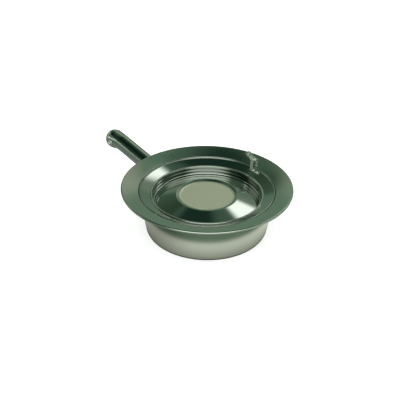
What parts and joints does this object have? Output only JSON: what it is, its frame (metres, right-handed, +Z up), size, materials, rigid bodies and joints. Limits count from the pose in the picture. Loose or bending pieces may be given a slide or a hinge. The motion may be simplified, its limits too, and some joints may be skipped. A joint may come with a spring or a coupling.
{
  "type": "bedpan with hinged lid",
  "caption": "Round stainless steel bedpan with a wide sloping rim, a recessed hinged lid and a hollow handle that leaves the side of the bowl.",
  "frame": {"origin": "centre of the underside of the pan's flat base, where it stands", "axes": "+Z up out of the pan, -X along the handle as seen from above, +Y close to the lid's hinge"},
  "size_m": [0.437, 0.2998, 0.0931],
  "materials": {
    "bowl_steel": "satin, turned brushing around the bowl",
    "ring_steel": "fine circular brushing, half polished",
    "lid_steel": "circular brushing with a satin dish in the middle",
    "handle_steel": "polished along its length",
    "fitting_steel": "bright pressed steel"
  },
  "bodies": {
    "pan": {"bowl": "bowl_steel", "seat_ring": "ring_steel", "handle_upper_shell": "handle_steel", "handle_lower_shell": "handle_steel", "handle_root_plate": "ring_steel", "handle_eyelet": "fitting_steel", "hinge_bracket": "fitting_steel", "bracket_rivet_1": "fitting_steel", "bracket_rivet_2": "fitting_steel", "hinge_pin": "fitting_steel"},
    "lid": {"lid": "lid_steel", "hinge_strap": "fitting_steel", "strap_rivet_1": "fitting_steel", "strap_rivet_2": "fitting_steel"}
  },
  "joints": [
    {"name": "lid_hinge", "type": "hinge", "parent": "pan", "child": "lid", "pos_m": [-0.01338, 0.1273, 0.0891], "axis": [-0.9945, -0.1045, 0], "range_deg": [0, 105]}
  ]
}
